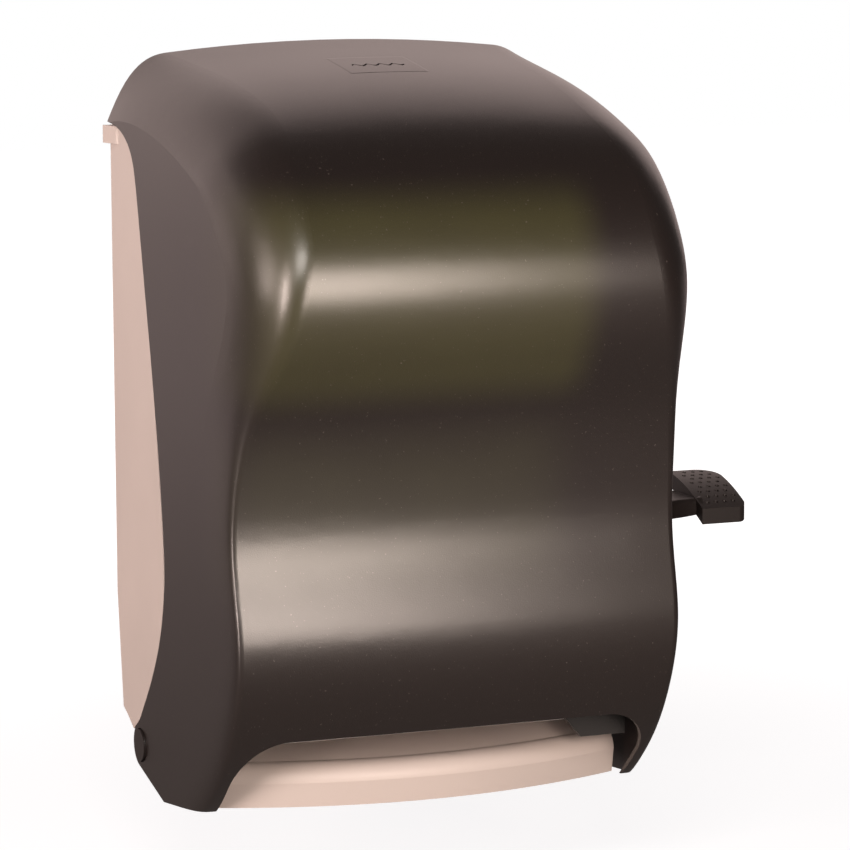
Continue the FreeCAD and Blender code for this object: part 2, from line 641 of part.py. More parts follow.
def drive_housing():
    """The open box that carries the lever's axle, the gears and the rollers' right ends."""
    outline = bracket_outline((-147, 50))
    body = slab(outline, BOX_X0, BOX_X1 - BOX_T)
    inner = slab([
        (-11.5, 82), (-16, 52.2), (-26, 49.5), (-98, 44.0), (-134, 36.5), (-144, 51), (-138.5, 117), (-119, 147.5),
        (-26, 147.5), (-11.5, 138),
    ], BOX_X0 + BOX_T, BOX_X1 + 1)
    body = body.cut(inner)
    guard = slab([(-143.5, 32.5), (-148, 32.0), (-148, 50), (-143.5, 50)], BOX_X0 - 24, BOX_X1 - BOX_T)
    slope = Part.makePolygon([
        Vector(BOX_X0 - 25, -160, 52), Vector(BOX_X0 - 25, -160, 30), Vector(BOX_X0 - 10, -160, 30),
        Vector(BOX_X0 - 24, -160, 47), Vector(BOX_X0 - 25, -160, 52),
    ])
    guard = guard.cut(Part.Face(slope).extrude(Vector(0, 30, 0)))
    whole = fused([body, guard])
    whole = whole.cut(rod(0, 200, LEVER_Y, LEVER_Z, AXLE_R))
    whole = whole.cut(rod(0, 200, FEED_Y, FEED_Z, FEED_SHAFT_R + BUSH_T))
    whole = whole.cut(rod(0, BOX_X0 + 6, PINCH_Y, PINCH_Z, PINCH_SHAFT_R + RUN_GAP))
    for y, z in BOX_SCREWS:
        whole = whole.fuse(rod(BOX_X0 + 1, BOX_X1 - BOX_T, y, z, 4))
        whole = whole.cut(rod(BOX_X1 - 12, BOX_X1 + 1, y, z, 1.5))
    return whole.removeSplitter()


def housing_lid():
    lid = slab(bracket_outline((-147, 50)), BOX_X1 - BOX_T, BOX_X1)
    lid = lid.cut(rod(0, 200, LEVER_Y, LEVER_Z, SLEEVE_R + RUN_GAP))
    lid = lid.cut(rod(0, 200, FEED_Y, FEED_Z, FEED_SHAFT_R + BUSH_T))
    for y, z in BOX_SCREWS:
        lid = lid.cut(rod(0, 200, y, z, 1.5))
    return lid


def left_bracket():
    """The plate that carries the rollers' left ends, with its foot on the backplate."""
    plate = slab(bracket_outline((-146, 50)), BRACKET_X, BRACKET_X + 3)
    foot = slab([(-8.5, 64), (-11.5, 64), (-11.5, 140), (-8.5, 140)], BRACKET_X, BRACKET_X + 14)
    whole = fused([plate, foot])
    whole = whole.cut(rod(-200, 0, FEED_Y, FEED_Z, FEED_SHAFT_R + BUSH_T))
    return whole.cut(rod(-200, 0, PINCH_Y, PINCH_Z, PINCH_SHAFT_R + RUN_GAP))


def frame_spacers():
    """Posts that stand the housing and the bracket off the backplate."""
    posts = []
    for x0, x1 in ((BRACKET_X, BRACKET_X + 12), (BOX_X0, BOX_X0 + 12)):
        for z in (66, 128):
            posts.append(slab([(-11.5, z), (-11.5, z + 10), (-wall_front(z + 10), z + 10),
                               (-wall_front(z), z)], x0, x1))
    return posts


def feed_bushes():
    bushes = []
    for x0, x1 in ((BRACKET_X, BRACKET_X + 3), (BOX_X0, BOX_X0 + BOX_T), (BOX_X1 - BOX_T, BOX_X1)):
        bushes.append(ring(x0, x1, FEED_Y, FEED_Z, FEED_SHAFT_R + BUSH_T, FEED_SHAFT_R + RUN_GAP))
    return Part.makeCompound(bushes)


def gear_outline(teeth, first, count, turn_deg):
    """Points (y, z) of an involute gear: count teeth from tooth number first, turned by turn_deg."""
    pitch_r = MODULE * teeth / 2
    base_r = pitch_r * math.cos(math.radians(PRESSURE_DEG))
    tip_r = pitch_r + 0.92 * MODULE
    root_r = pitch_r - 1.3 * MODULE
    half = math.pi / (2 * teeth) - BACKLASH / (4 * pitch_r)
    inv_pitch = math.tan(math.radians(PRESSURE_DEG)) - math.radians(PRESSURE_DEG)

    def half_angle(r):
        a = math.acos(min(1.0, base_r / r))
        return half + inv_pitch - (math.tan(a) - a)

    low_r = max(base_r, root_r)
    radii = [low_r + (tip_r - low_r) * i / 5 for i in range(6)]
    points = []
    for n in range(first, first + count):
        centre = 2 * math.pi * n / teeth + math.radians(turn_deg)
        flank = [(root_r, half_angle(low_r) + 0.003)] + [(r, half_angle(r)) for r in radii]
        for r, a in flank:
            points.append((r * math.cos(centre - a), r * math.sin(centre - a)))
        for r, a in reversed(flank):
            points.append((r * math.cos(centre + a), r * math.sin(centre + a)))
    return points


def drive_pinion():
    """The pinion on the feed shaft; a tooth faces the lever's axle, where the sector has a gap."""
    points = gear_outline(PINION_TEETH, 0, PINION_TEETH, MESH_DEG)
    body = slab([(FEED_Y + y, FEED_Z + z) for y, z in points], GEAR_X - 0.8, GEAR_X + GEAR_T)
    return body.cut(rod(0, 200, FEED_Y, FEED_Z, CLUTCH_R))


def one_way_clutch():
    return ring(GEAR_X - 0.8, GEAR_X + GEAR_T, FEED_Y, FEED_Z, CLUTCH_R, FEED_SHAFT_R)


def sector_gear():
    """The toothed sector on the lever; the gap between two teeth faces the pinion at rest."""
    pitch_deg = 360 / SECTOR_TEETH
    down = 3
    up = int(LEVER_SWING / pitch_deg) + 4
    mesh = 180 + MESH_DEG
    points = gear_outline(SECTOR_TEETH, -up, up + down, mesh + pitch_deg / 2)
    rim = [(LEVER_Y + y, LEVER_Z + z) for y, z in points]
    hub = ring(GEAR_X, GEAR_X + GEAR_T - 2, LEVER_Y, LEVER_Z, 13, AXLE_R + RUN_GAP)
    fan = slab([(LEVER_Y, LEVER_Z)] + rim, GEAR_X, GEAR_X + GEAR_T - 2)
    fan = fan.cut(rod(0, 200, LEVER_Y, LEVER_Z, 12))
    for a in (-16, 14):
        deg = math.radians(mesh - 20 + a)
        y, z = LEVER_Y + 38 * math.cos(deg), LEVER_Z + 38 * math.sin(deg)
        fan = fan.cut(rod(0, 200, y, z, 7))
    sleeve = ring(GEAR_X + GEAR_T - 2, LEVER_HUB_X + 6, LEVER_Y, LEVER_Z, SLEEVE_R, AXLE_R + RUN_GAP)
    return fused([hub, fan, sleeve, lever_key()])


def lever_key():
    """The key on the sector's sleeve that turns it with the lever."""
    x = LEVER_HUB_X
    r = SLEEVE_R
    return box(x, x + 6, LEVER_Y - 1, LEVER_Y + 1, LEVER_Z + r - 1, LEVER_Z + r + LEVER_KEY)


def lever_axle():
    pin = rod(BOX_X0 - 1.6, LEVER_HUB_X + 8.5, LEVER_Y, LEVER_Z, AXLE_R)
    return pin.fuse(rod(BOX_X0 - 3, BOX_X0 - 0.02, LEVER_Y, LEVER_Z, AXLE_R + 2.5)).removeSplitter()


def lever():
    """The lever: hub, arm through the side wall, and the dimpled pad."""
    a = math.radians(LEVER_REST_DEG)
    cy, cz = LEVER_Y - ARM_CROSS_R * math.cos(a), LEVER_Z + ARM_CROSS_R * math.sin(a)
    hub = rod(LEVER_HUB_X, LEVER_HUB_X + 6, LEVER_Y, LEVER_Z, 11)
    crank = box(LEVER_HUB_X, LEVER_HUB_X + 6, -ARM_CROSS_R - 5, -8, -4.5, 4.5)
    crank.rotate(Vector(0, 0, 0), Vector(1, 0, 0), -LEVER_REST_DEG)
    crank.translate(Vector(0, LEVER_Y, LEVER_Z))

    def block(x, y, z, half_y, half_z):
        r = min(half_y, half_z) * 0.7
        c = 0.7071 * r
        pts = []
        for sy, sz in ((-1, 1), (1, 1), (1, -1), (-1, -1)):
            ya, za = y + sy * half_y, z + sz * half_z
            first = Vector(x, ya - sy * (0 if sy * sz < 0 else r), za - sz * (r if sy * sz < 0 else 0))
            last = Vector(x, ya - sy * (r if sy * sz < 0 else 0), za - sz * (0 if sy * sz < 0 else r))
            mid = Vector(x, ya - sy * (r - c), za - sz * (r - c))
            pts.append((first, mid, last))
        edges = []
        for i, (first, mid, last) in enumerate(pts):
            edges.append(Part.Arc(first, mid, last).toShape())
            edges.append(Part.makeLine(last, pts[(i + 1) % 4][0]))
        return Part.Wire(edges)

    arm = Part.makeLoft([
        block(LEVER_HUB_X, cy, cz, 5.0, 4.5), block(HALF_W + 3, cy, cz, 5.0, 4.5),
        block(HALF_W + 22, cy - 9, cz + 3, 10.0, 5.0), block(PAD_X0 + 3, PAD_MID_Y, PAD_FRONT_Z + 0.5, 17.0, 4.6),
    ], True, False)
    whole = fused([hub, crank, arm, pad_body()])
    whole = whole.cut(rod(LEVER_HUB_X - 1, LEVER_HUB_X + 7, LEVER_Y, LEVER_Z, SLEEVE_R)).cut(lever_key())
    return whole.cut(pad_dimples())


def pad_top(y):
    """Height of the pad's crowned top at depth y."""
    s = (y - PAD_REAR_Y) / (PAD_FRONT_Y - PAD_REAR_Y)
    return PAD_REAR_Z - (PAD_REAR_Z - PAD_FRONT_Z) * (0.35 * s + 0.65 * s * s)


def pad_body():
    curve = Part.BSplineCurve()
    ys = [PAD_REAR_Y + (PAD_FRONT_Y - PAD_REAR_Y) * i / 6 for i in range(7)]
    curve.interpolate([Vector(PAD_X0, y, pad_top(y)) for y in ys])
    under = Part.BSplineCurve()
    under.interpolate([Vector(PAD_X0, y, pad_top(y) - PAD_T) for y in ys[::-1]])
    rear = Part.makeLine(Vector(PAD_X0, ys[0], pad_top(ys[0]) - PAD_T), Vector(PAD_X0, ys[0], pad_top(ys[0])))
    front = Part.makeLine(Vector(PAD_X0, ys[-1], pad_top(ys[-1])), Vector(PAD_X0, ys[-1], pad_top(ys[-1]) - PAD_T))
    body = Part.Face(Part.Wire([curve.toShape(), front, under.toShape(), rear])).extrude(
        Vector(PAD_X1 - PAD_X0, 0, 0))
    x0, x1, y0, y1 = PAD_X0, PAD_X1, PAD_FRONT_Y, PAD_REAR_Y
    plan = box(x0, x1, y0, y1, PAD_FRONT_Z - 30, PAD_REAR_Z + 20)
    upright = []
    for edge in plan.Edges:
        p, q = edge.Vertexes[0].Point, edge.Vertexes[1].Point
        if abs(p.z - q.z) > 1 and p.x > x0 + 1:
            upright.append(edge)
    rear_edges = [e for e in upright if e.Vertexes[0].Point.y > (y0 + y1) / 2]
    front_edges = [e for e in upright if e.Vertexes[0].Point.y < (y0 + y1) / 2]
    plan = plan.makeFillet(13.0, rear_edges)
    front_edges = [e for e in plan.Edges if abs(e.BoundBox.ZLength) > 20 and e.BoundBox.YMax < y0 + 1
                   and e.BoundBox.XMin > x0 + 1]
    plan = plan.makeFillet(4.5, front_edges)
    return body.common(plan)


def pad_dimples():
    """Staggered rows of shallow round pits in the pad's top."""
    pits = []
    for row in range(PIT_ROWS):
        y = PAD_FRONT_Y + 5.0 + row * PIT_PITCH
        shift = PIT_PITCH / 2 if row % 2 else 0
        for col in range(4):
            x = PAD_X0 + 5.2 + shift + col * PIT_PITCH
            if x > PAD_X1 - 3.2 or (row > PIT_ROWS - 3 and x > PAD_X1 - 6):
                continue
            pits.append(Part.makeCylinder(PIT_R, 6, Vector(x, y, pad_top(y) - 0.7)))
    return Part.makeCompound(pits)


def return_spring():
    coil = ring(BOX_X0 + BOX_T + 0.3, GEAR_X - 0.4, LEVER_Y, LEVER_Z, 8, 6)
    return coil


def axle_clips():
    clip = ring(LEVER_HUB_X + 6.3, LEVER_HUB_X + 7.3, LEVER_Y, LEVER_Z, 7, AXLE_R)
    feed = ring(BRACKET_X - 1.5, BRACKET_X - 0.5, FEED_Y, FEED_Z, 6.5, FEED_SHAFT_R)
    return clip, feed


def feed_shaft():
    return rod(BRACKET_X - 2.5, BOX_X1 + 1, FEED_Y, FEED_Z, FEED_SHAFT_R)


def feed_core():
    return ring(ROLLER_X0, ROLLER_X1, FEED_Y, FEED_Z, FEED_CORE_R, FEED_SHAFT_R)


def sleeves(y, z, r_out, r_in):
    """Three rubber sleeves along a roller."""
    gap = 16.0
    length = (ROLLER_X1 - ROLLER_X0 - 2 * gap) / 3
    starts = [ROLLER_X0 + i * (length + gap) for i in range(3)]
    return Part.makeCompound([ring(x, x + length, y, z, r_out, r_in) for x in starts])


def pinch_shaft():
    return rod(BRACKET_X - 1, BOX_X0 + 2.2, PINCH_Y, PINCH_Z, PINCH_SHAFT_R)


def pinch_springs():
    """Leaf springs on the frame that press on the pinch shaft's ends."""
    leaves = []
    for x0, x1 in ((BRACKET_X + 3.4, BRACKET_X + 6.2), (BOX_X0 - 3.2, BOX_X0 - 0.4)):
        y = PINCH_Y + PINCH_SHAFT_R + 0.3
        leaf = slab([(y, PINCH_Z - 6), (y + 0.6, PINCH_Z - 6), (y + 1.6, PINCH_Z + 14), (y + 14, PINCH_Z + 40),
                     (y + 13.4, PINCH_Z + 40.3), (y + 1.0, PINCH_Z + 14.2)], x0, x1)
        leaves.append(leaf)
    return leaves


def spring_posts():
    """Small brackets that hold the leaf springs' upper ends."""
    y = PINCH_Y + PINCH_SHAFT_R + 14.3 - 0.1
    left = box(BRACKET_X + 3, BRACKET_X + 6.6, y + 0.1, y + 4, PINCH_Z + 36, PINCH_Z + 46)
    right = box(BOX_X0 - 3.6, BOX_X0, y + 0.1, y + 4, PINCH_Z + 36, PINCH_Z + 46)
    return left, right


def tear_bar_carrier():
    """The cross bar between the bracket and the housing that the tear bar is screwed to."""
    x0, x1 = BRACKET_X + 3, BOX_X0
    bar = slab([(-139, 53.5), (-139, 74), (-136.5, 76.5), (-125, 76.5), (-125, 74), (-136, 74), (-136, 53.5)], x0, x1)
    pilots = [Part.makeCylinder(1.5, 10, Vector(x, -141, 66), Vector(0, 1, 0)) for x in TEAR_SCREW_X]
    return bar.cut(Part.makeCompound(pilots))


def tear_bar():
    """A serrated steel blade with a folded top, in front of the carrier."""
    x0, x1 = ROLL_X0 + 1, ROLL_X1 - 1
    count = int((x1 - x0) / TOOTH_PITCH)
    pitch = (x1 - x0) / count
    y = -139.0
    points = [Vector(x0, y, 71), Vector(x0, y, 53)]
    for i in range(count):
        points.append(Vector(x0 + (i + 0.5) * pitch, y, 50))
        points.append(Vector(x0 + (i + 1) * pitch, y, 53))
    points += [Vector(x1, y, 71), points[0]]
    blade = Part.Face(Part.makePolygon(points)).extrude(Vector(0, -0.8, 0))
    holes = [Part.makeCylinder(1.5, 10, Vector(x, y - 5, 66), Vector(0, 1, 0)) for x in TEAR_SCREW_X]
    return blade.cut(Part.makeCompound(holes))


def tear_bar_screws():
    screws = []
    for x in TEAR_SCREW_X:
        shank = Part.makeCylinder(1.5, 3.4, Vector(x, -139.8, 66), Vector(0, 1, 0))
        head = Part.makeCylinder(2.8, 1.6, Vector(x, -141.4, 66), Vector(0, 1, 0))
        screws.append(shank.fuse(head).removeSplitter())
    return Part.makeCompound(screws)


def box_screws():
    screws = []
    for y, z in BOX_SCREWS:
        screws.append(rod(BOX_X1 - 9, BOX_X1, y, z, 1.5).fuse(rod(BOX_X1, BOX_X1 + 1.6, y, z, 2.9)).removeSplitter())
    return Part.makeCompound(screws)


def hub(x_base, direction):
    """The tapered hub that holds one end of the roll's core."""
    straight = 4.0
    r = CORE_R - CORE_T - SEAT_GAP
    axis = Vector(direction, 0, 0)
    base = Part.makeCylinder(r, straight, Vector(x_base, ROLL_Y, ROLL_Z), axis)
    tip = Part.makeCone(r, r - 3, HUB_DEPTH - straight, Vector(x_base + direction * straight, ROLL_Y, ROLL_Z), axis)
    hollow = Part.makeCylinder(r - 6, HUB_DEPTH + 2, Vector(x_base + direction * 2, ROLL_Y, ROLL_Z), axis)
    return fused([base, tip]).cut(hollow)


def roll_arm_left():
    x1 = ROLL_X0 - END_GAP
    plate = box(x1 - ARM_T, x1, ROLL_Y, -PLATE_T, ROLL_Z - ARM_H / 2, ROLL_Z + ARM_H / 2)
    disc = rod(x1 - ARM_T, x1, ROLL_Y, ROLL_Z, ARM_H / 2 + 6)
    foot = box(x1 - ARM_T, x1 + 12, -5.5, -PLATE_T, ROLL_Z - ARM_H / 2 - 6, ROLL_Z + ARM_H / 2 + 6)
    whole = fused([plate, disc, foot])
    for z in ARM_SCREW_Z:
        whole = whole.cut(arm_screw(z))
    return whole


def roll_arm_right():
    x0 = ROLL_X1 + END_GAP
    plate = box(x0, x0 + ARM_T, ROLL_Y, ARM_PIN_Y, ROLL_Z - ARM_H / 2, ROLL_Z + ARM_H / 2)
    disc = rod(x0, x0 + ARM_T, ROLL_Y, ROLL_Z, ARM_H / 2 + 6)
    barrel = Part.makeCylinder(5.5, ARM_H, Vector(ARM_PIN_X, ARM_PIN_Y, ROLL_Z - ARM_H / 2))
    whole = fused([plate, disc, barrel])
    whole = whole.cut(Part.makeCylinder(ARM_PIN_R + RUN_GAP, 80, Vector(ARM_PIN_X, ARM_PIN_Y, ROLL_Z - 40)))
    notch = Part.makeCylinder(6.5, ARM_SPRING_H + 1, Vector(ARM_PIN_X, ARM_PIN_Y, ROLL_Z - ARM_SPRING_H / 2 - 0.5))
    return whole.cut(notch)


def arm_pin():
    return Part.makeCylinder(ARM_PIN_R, ARM_H + 10.8, Vector(ARM_PIN_X, ARM_PIN_Y, ROLL_Z - ARM_H / 2 - 5.4))


def arm_spring():
    base = Vector(ARM_PIN_X, ARM_PIN_Y, ROLL_Z - ARM_SPRING_H / 2)
    return Part.makeCylinder(4.6, ARM_SPRING_H, base).cut(Part.makeCylinder(ARM_PIN_R, ARM_SPRING_H, base))


def paper_core():
    return ring(ROLL_X0, ROLL_X1, ROLL_Y, ROLL_Z, CORE_R, CORE_R - CORE_T)


def paper_roll():
    return ring(ROLL_X0, ROLL_X1, ROLL_Y, ROLL_Z, ROLL_R, CORE_R)


def paper_web():
    """The sheet from the back of the roll, behind and under the feed roller, to the outlet."""
    r1, r2 = ROLL_R + PAPER_GAP, FEED_R + PAPER_GAP
    dy, dz = ROLL_Y - FEED_Y, ROLL_Z - FEED_Z
    span = math.hypot(dy, dz)
    lean = math.asin((r2 - r1) / span) - math.atan2(dy, dz)
    exit_deg = -60.0
    tail = 49.0
    inside, outside = [], []
    for side, extra in ((inside, 0.0), (outside, PAPER_T)):
        side.append((ROLL_Y + (r1 + extra) * math.cos(lean), ROLL_Z + (r1 + extra) * math.sin(lean)))
        first = math.degrees(lean)
        for i in range(9):
            a = math.radians(first + (exit_deg - first) * i / 8)
            side.append((FEED_Y + (r2 + extra) * math.cos(a), FEED_Z + (r2 + extra) * math.sin(a)))
        y, z = side[-1]
        a = math.radians(exit_deg)
        side.append((y + tail * math.sin(a), z - tail * math.cos(a)))
    return slab(inside + outside[::-1], ROLL_X0 + 0.5, ROLL_X1 - 0.5)


def export(node, shape):
    moved = shape.copy()
    moved.translate(Vector(0, 0, -MOUNT_HEIGHT))
    moved.exportStep("parts/" + node + ".step")
    print(node, "solids", len(moved.Solids), "valid", moved.isValid(), "volume", round(moved.Volume))


def main():
    os.makedirs("parts", exist_ok=True)
    guide, guide_screws, tongue = latch_parts()
    clip, feed_clip = axle_clips()
    left_post, right_post = spring_posts()
    posts = frame_spacers()
    export("front_cover", front_cover())
    export("latch_guide", guide)
    export("latch_screws", guide_screws)
    export("latch_tongue", tongue)
    export("latch_catch", latch_catch())
    export("backplate", backplate())
    export("hinge_pins", hinge_pins())
    export("outlet_chute", outlet_chute())
    frame_screws = [frame_screw(x, z) for x in (BRACKET_X + 6, BOX_X0 + 6) for z in FRAME_SCREW_Z]
    housing = fused([drive_housing(), right_post] + posts[2:])
    bracket = fused([left_bracket(), left_post] + posts[:2])
    for screw in frame_screws:
        housing = housing.cut(screw)
        bracket = bracket.cut(screw)
    export("drive_housing", housing)
    export("housing_lid", housing_lid())
    export("housing_screws", box_screws())
    export("left_bracket", bracket)
    export("frame_screws", Part.makeCompound(frame_screws))
    export("roll_arm_screws", Part.makeCompound([arm_screw(z) for z in ARM_SCREW_Z]))
    export("chute_screws", Part.makeCompound([chute_screw(x) for x in CHUTE_SCREW_X]))
    export("roller_bushes", feed_bushes())
    export("lever_axle", lever_axle())
    export("lever_axle_clip", clip)
    export("lever_return_spring", return_spring())
    export("lever", lever())
    export("lever_sector_gear", sector_gear())
    export("drive_pinion", drive_pinion())
    export("one_way_clutch", one_way_clutch())
    export("feed_shaft", feed_shaft())
    export("feed_shaft_clip", feed_clip)
    export("feed_roller_core", feed_core())
    export("feed_roller_sleeves", sleeves(FEED_Y, FEED_Z, FEED_R, FEED_CORE_R))
    export("pinch_shaft", pinch_shaft())
    export("pinch_roller_sleeves", sleeves(PINCH_Y, PINCH_Z, PINCH_R, PINCH_SHAFT_R))
    export("pinch_springs", Part.makeCompound(pinch_springs()))
    export("tear_bar_carrier", tear_bar_carrier())
    export("tear_bar", tear_bar())
    export("tear_bar_screws", tear_bar_screws())
    export("roll_arm_left", roll_arm_left())
    export("roll_hub_left", hub(ROLL_X0 - END_GAP, 1))
    export("roll_arm_right", roll_arm_right())
    export("roll_hub_right", hub(ROLL_X1 + END_GAP, -1))
    export("roll_arm_pin", arm_pin())
    export("roll_arm_spring", arm_spring())
    export("paper_core", paper_core())
    export("paper_roll", paper_roll())
    export("paper_web", paper_web())


main()
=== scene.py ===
# %% [markdown]
# A wall dispenser for roll towels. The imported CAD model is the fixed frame: every solid already
# sits where it belongs and moves with its body. This lesson gives each solid the finish that the
# real one has, swaps two plain stand-in springs for wound ones, and sets up the camera and light.

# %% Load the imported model
import json
import math
import bpy
from mathutils import Matrix, Vector

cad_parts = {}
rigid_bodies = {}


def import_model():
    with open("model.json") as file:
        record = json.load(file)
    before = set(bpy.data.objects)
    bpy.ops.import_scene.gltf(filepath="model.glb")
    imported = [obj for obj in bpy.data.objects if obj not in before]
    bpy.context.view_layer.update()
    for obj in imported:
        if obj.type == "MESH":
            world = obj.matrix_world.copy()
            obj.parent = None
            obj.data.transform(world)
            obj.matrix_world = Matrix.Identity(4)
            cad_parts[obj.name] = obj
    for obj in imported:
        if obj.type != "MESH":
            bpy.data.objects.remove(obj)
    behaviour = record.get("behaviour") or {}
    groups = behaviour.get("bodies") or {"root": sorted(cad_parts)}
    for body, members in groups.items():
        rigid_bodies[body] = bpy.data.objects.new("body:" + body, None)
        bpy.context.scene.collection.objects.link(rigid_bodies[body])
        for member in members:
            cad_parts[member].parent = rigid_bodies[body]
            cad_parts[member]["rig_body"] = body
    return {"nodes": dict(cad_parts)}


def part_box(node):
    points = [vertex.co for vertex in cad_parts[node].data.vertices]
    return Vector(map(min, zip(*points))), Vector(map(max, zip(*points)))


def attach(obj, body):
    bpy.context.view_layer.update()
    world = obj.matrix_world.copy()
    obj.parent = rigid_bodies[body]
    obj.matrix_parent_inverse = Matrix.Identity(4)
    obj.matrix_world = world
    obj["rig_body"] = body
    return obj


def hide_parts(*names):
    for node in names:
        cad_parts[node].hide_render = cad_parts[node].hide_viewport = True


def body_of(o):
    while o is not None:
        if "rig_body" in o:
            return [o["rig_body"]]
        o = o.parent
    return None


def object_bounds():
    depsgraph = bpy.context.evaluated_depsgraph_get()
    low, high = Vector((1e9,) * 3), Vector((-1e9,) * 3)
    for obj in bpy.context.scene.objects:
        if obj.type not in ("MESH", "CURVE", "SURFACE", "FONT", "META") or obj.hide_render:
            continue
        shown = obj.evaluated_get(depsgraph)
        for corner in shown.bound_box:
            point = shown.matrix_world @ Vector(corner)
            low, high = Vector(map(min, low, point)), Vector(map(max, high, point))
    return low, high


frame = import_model()
cad_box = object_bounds()
nodes = frame["nodes"]

# %% [markdown]
# A finish is a sum of small effects, such as grain, dust and worn edges. Written as node calls it
# is hard to read, so one small class wraps a socket and lets the usual signs add Math nodes. The
# signs have a mirrored form too, so that a plain number may stand on the left.

# %% Shader sums
class Wire:
    """A number or a vector on its way through a material."""

    def __init__(self, finish, socket):
        self.finish = finish
        self.socket = socket

    def sum_with(self, operation, a, b):
        return self.finish.add("Math", {"operation": operation}, {0: a, 1: b})

    def __add__(self, other):
        return self.sum_with("ADD", self, other)

    def __radd__(self, other):
        return self.sum_with("ADD", other, self)

    def __sub__(self, other):
        return self.sum_with("SUBTRACT", self, other)

    def __rsub__(self, other):
        return self.sum_with("SUBTRACT", other, self)

    def __mul__(self, other):
        return self.sum_with("MULTIPLY", self, other)

    def __rmul__(self, other):
        return self.sum_with("MULTIPLY", other, self)

    def __pow__(self, other):
        return self.sum_with("POWER", self, other)


print("wires can be added, subtracted, multiplied and raised to a power")

# %% [markdown]
# Every finish here is one Principled shader with something on its sockets. This class makes the
# material. Its method add makes any other node from its kind, its settings and its inputs, so no
# finish needs node code of its own.

# %% One finish
class Finish:
    """A material with one Principled shader, built up a node at a time."""

    def __init__(self, name, **constants):
        self.material = bpy.data.materials.new(name)
        self.material.use_nodes = True
        self.tree = self.material.node_tree
        self.tree.nodes.clear()
        self.shader = self.tree.nodes.new("ShaderNodeBsdfPrincipled")
        self.output = self.tree.nodes.new("ShaderNodeOutputMaterial")
        self.tree.links.new(self.shader.outputs[0], self.output.inputs[0])
        self.give(**constants)

    def feed(self, socket, value):
        """Puts a link or a plain value on a socket."""
        if isinstance(value, Wire):
            self.tree.links.new(value.socket, socket)
        elif isinstance(value, tuple) and len(value) == 3 and socket.type == "RGBA":
            socket.default_value = (*value, 1.0)
        else:
            socket.default_value = value

    def add(self, kind, settings=None, values=None, out=0):
        """Adds one node of any kind: its settings first, then its sockets."""
        node = self.tree.nodes.new("ShaderNode" + kind)
        for name, value in (settings or {}).items():
            setattr(node, name, value)
        for key, value in (values or {}).items():
            self.feed(node.inputs[key], value)
        return Wire(self, node.outputs[out])

    def give(self, **values):
        """Feeds the shader's own sockets; an underscore in a name stands for a space."""
        for name, value in values.items():
            self.feed(self.shader.inputs[name.replace("_", " ")], value)


print("a finish can be built")

# %% [markdown]
# Most patterns here depend on where a point is on the piece, in metres in the model's own frame.
# Object coordinates give that, and they stay with the piece when its body moves.

# %% Helpers that most finishes share
EDGE_REACH = 0.0012


def place(f):
    """The point on the surface, and its x, y and z."""
    point = f.add("TexCoord", out=3)
    parts = [f.add("SeparateXYZ", values={0: point}, out=i) for i in range(3)]
    return point, parts


def speckle(f, point, scale, detail=3.0, rough=0.5):
    """Even noise from 0 to 1; scale is in bumps per metre."""
    return f.add("TexNoise", values={"Vector": point, "Scale": scale, "Detail": detail, "Roughness": rough})


def fade(f, value, start, end):
    """0 before start, 1 after end, and smooth between them."""
    settings = {"interpolation_type": "SMOOTHSTEP", "clamp": True}
    return f.add("MapRange", settings, {"Value": value, "From Min": start, "From Max": end})


def waves(f, angle):
    """Even waves from 0 to 1 along an angle in radians."""
    return f.add("Math", {"operation": "SINE"}, {0: angle}) * 0.5 + 0.5


def mix(f, amount, first, second):
    """A colour between two others."""
    return f.add("Mix", {"data_type": "RGBA", "clamp_factor": True}, {0: amount, 6: first, 7: second}, out=2)


def relief(f, height, depth):
    """A bump of the given depth in metres."""
    return f.add("Bump", values={"Height": height, "Distance": depth, "Strength": 1.0})


def wear(f):
    """Near 1 on edges and rims, near 0 on flat faces."""
    inside = f.add("AmbientOcclusion", {"inside": True, "samples": 4}, {"Distance": EDGE_REACH}, out=1)
    return fade(f, 1.0 - inside, 0.25, 0.8)


print("place, speckle, fade, waves, mix, relief and wear are ready")

# %% [markdown]
# The cover is smoky plastic, satin outside. It lets a little light through, so the roll behind it
# shows as a vague greenish patch with soft edges, and the clear space under the roll as a weaker
# one. A really see-through cover would show the roll sharply, which the frosted plastic never
# does, so these patches are painted light, painted into the cover's colour by place, with wide
# soft borders. They sit where the camera sees the roll through the front, so from other sides they
# don't line up with the roll. A low raised field around the key slot at the top is in the relief
# alone.

# %% Smoky cover
SMOKE = (0.0130, 0.0082, 0.0070)
# The next two colours are painted light from inside: the roll, and the space under it, as seen through the
# cover.
ROLL_THROUGH_LIGHT = (0.039, 0.036, 0.014)
LOW_THROUGH_LIGHT = (0.028, 0.025, 0.014)
DUST_TINT = (0.25, 0.22, 0.2)
# Edges of the fields, in metres: left, right, then low and high, or front and rear for the slot's.
ROLL_FIELD = (-0.116, 0.057, 0.012, 0.112)
LOW_FIELD = (-0.118, 0.050, -0.085, -0.012)
SLOT_FIELD = (-0.0215, 0.0215, -0.092, -0.054)
# Half the width of each field's soft border.
ROLL_BORDER, LOW_BORDER, SLOT_BORDER = 0.013, 0.022, 0.0008
FIELD_STEP = 0.00025
# Patterns in the plastic and on it, in bumps per metre.
CLOUDS, SMEARS, SPECKS, GRAIN = 22.0, 9.0, 900.0, 1900.0
GRAIN_DEPTH = 0.00005
# Where the front ends, going back, and where the top starts, going up.
FRONT_END = (-0.175, -0.135)
TOP_START = (0.14, 0.15)


def patch(f, across, along, edges, soft):
    """A soft-edged rectangle in two of the coordinates."""
    left, right, near, far = edges
    wide = fade(f, across, left - soft, left + soft) * (1.0 - fade(f, across, right - soft, right + soft))
    long = fade(f, along, near - soft, near + soft) * (1.0 - fade(f, along, far - soft, far + soft))
    return wide * long


